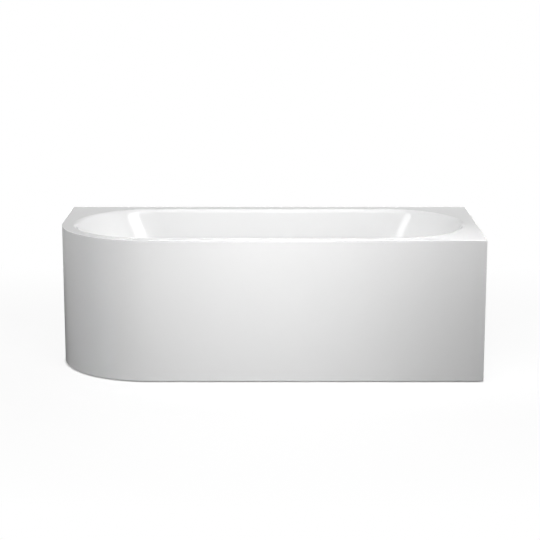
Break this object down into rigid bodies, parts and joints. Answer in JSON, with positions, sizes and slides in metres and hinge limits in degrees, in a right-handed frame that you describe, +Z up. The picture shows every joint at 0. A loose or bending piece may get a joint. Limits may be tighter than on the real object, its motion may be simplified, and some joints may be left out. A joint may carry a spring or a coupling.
{
  "type": "back-to-wall bathtub",
  "caption": "White corner bath with a stadium bowl, a flush one-piece apron round one end, a levelling steel cradle and a pop-up waste worked by the overflow knob.",
  "frame": {"origin": "middle of the footprint, on the floor", "axes": "+X along the bath to the square end, +Y to the wall, +Z up"},
  "size_m": [1.7, 0.75, 0.573],
  "materials": {
    "white_acrylic": "gloss white acrylic",
    "bond_tape": "grey bonding tape",
    "plywood": "raw plywood",
    "grey_paint": "grey powder coat",
    "zinc_steel": "zinc plated",
    "black_plastic": "moulded black",
    "black_rubber": "moulded rubber",
    "chrome": "polished chrome",
    "brass": "turned brass",
    "white_pipe": "moulded white",
    "grey_nut": "moulded grey",
    "cable_sheath": "smooth black sheath"
  },
  "bodies": {
    "bath": {"apron": "white_acrylic", "apron_bracket": "grey_paint", "apron_stay_front": "grey_paint", "apron_stay_left": "grey_paint", "apron_stay_screws": "zinc_steel", "base_board": "plywood", "base_board_screws": "zinc_steel", "bracket_bolts": "zinc_steel", "bracket_nuts": "zinc_steel", "cable_clips": "grey_nut", "cross_rail_left": "grey_paint", "cross_rail_middle": "grey_paint", "cross_rail_right": "grey_paint", "foot_lock_nuts": "zinc_steel", "foot_weld_nuts": "zinc_steel", "long_rail_back": "grey_paint", "long_rail_front": "grey_paint", "outlet_pipe": "white_pipe", "overflow_body": "white_pipe", "overflow_face": "chrome", "overflow_face_screws": "zinc_steel", "overflow_gasket": "black_rubber", "overflow_pipe": "white_pipe", "plug_cable": "cable_sheath", "rim_bond_strip": "bond_tape", "rim_post_left_back": "grey_paint", "rim_post_pads": "black_rubber", "rim_post_right_back": "grey_paint", "rim_post_right_front": "grey_paint", "rocker_pin": "zinc_steel", "slip_nuts": "grey_nut", "slip_seals": "black_rubber", "trap": "white_pipe", "tub_shell": "white_acrylic", "tube_end_caps": "black_plastic", "wall_bracket_left": "grey_paint", "wall_bracket_right": "grey_paint", "waste_body": "white_pipe", "waste_flange": "chrome", "waste_low_gasket": "black_rubber", "waste_top_gasket": "black_rubber"},
    "knob": {"overflow_knob": "chrome", "overflow_spindle": "brass"},
    "plug": {"plug_cap": "chrome", "plug_seal": "black_rubber", "plug_stem": "brass"},
    "rocker": {"lift_rocker": "white_pipe"},
    "foot_left_front": {"foot_stud_left_front": "zinc_steel", "foot_pad_left_front": "black_plastic"},
    "foot_left_back": {"foot_stud_left_back": "zinc_steel", "foot_pad_left_back": "black_plastic"},
    "foot_middle_front": {"foot_stud_middle_front": "zinc_steel", "foot_pad_middle_front": "black_plastic"},
    "foot_middle_back": {"foot_stud_middle_back": "zinc_steel", "foot_pad_middle_back": "black_plastic"},
    "foot_right_front": {"foot_stud_right_front": "zinc_steel", "foot_pad_right_front": "black_plastic"},
    "foot_right_back": {"foot_stud_right_back": "zinc_steel", "foot_pad_right_back": "black_plastic"}
  },
  "joints": [
    {"name": "knob_turn", "type": "hinge", "parent": "bath", "child": "knob", "pos_m": [0, -0.30025, 0.493], "axis": [0, 0.9925, 0.1219], "range_deg": [0, 90]},
    {"name": "plug_lift", "type": "slide", "parent": "bath", "child": "plug", "axis": [0, 0, 1], "range_m": [0, 0.01]},
    {"name": "rocker_tilt", "type": "hinge", "parent": "bath", "child": "rocker", "pos_m": [0.025, -0.08, 0.1019], "axis": [0, 1, 0], "range_deg": [0, 22]},
    {"name": "left_front_foot_travel", "type": "slide", "parent": "bath", "child": "foot_left_front", "axis": [0, 0, 1], "range_m": [-0.012, 0.01]},
    {"name": "left_back_foot_travel", "type": "slide", "parent": "bath", "child": "foot_left_back", "axis": [0, 0, 1], "range_m": [-0.012, 0.01]},
    {"name": "middle_front_foot_travel", "type": "slide", "parent": "bath", "child": "foot_middle_front", "axis": [0, 0, 1], "range_m": [-0.012, 0.01]},
    {"name": "middle_back_foot_travel", "type": "slide", "parent": "bath", "child": "foot_middle_back", "axis": [0, 0, 1], "range_m": [-0.012, 0.01]},
    {"name": "right_front_foot_travel", "type": "slide", "parent": "bath", "child": "foot_right_front", "axis": [0, 0, 1], "range_m": [-0.012, 0.01]},
    {"name": "right_back_foot_travel", "type": "slide", "parent": "bath", "child": "foot_right_back", "axis": [0, 0, 1], "range_m": [-0.012, 0.01]}
  ],
  "couplings": [
    {"joint": "plug_lift", "follows": "knob_turn", "m_per_rad": 0.006366},
    {"joint": "rocker_tilt", "follows": "knob_turn", "ratio": 0.242}
  ]
}
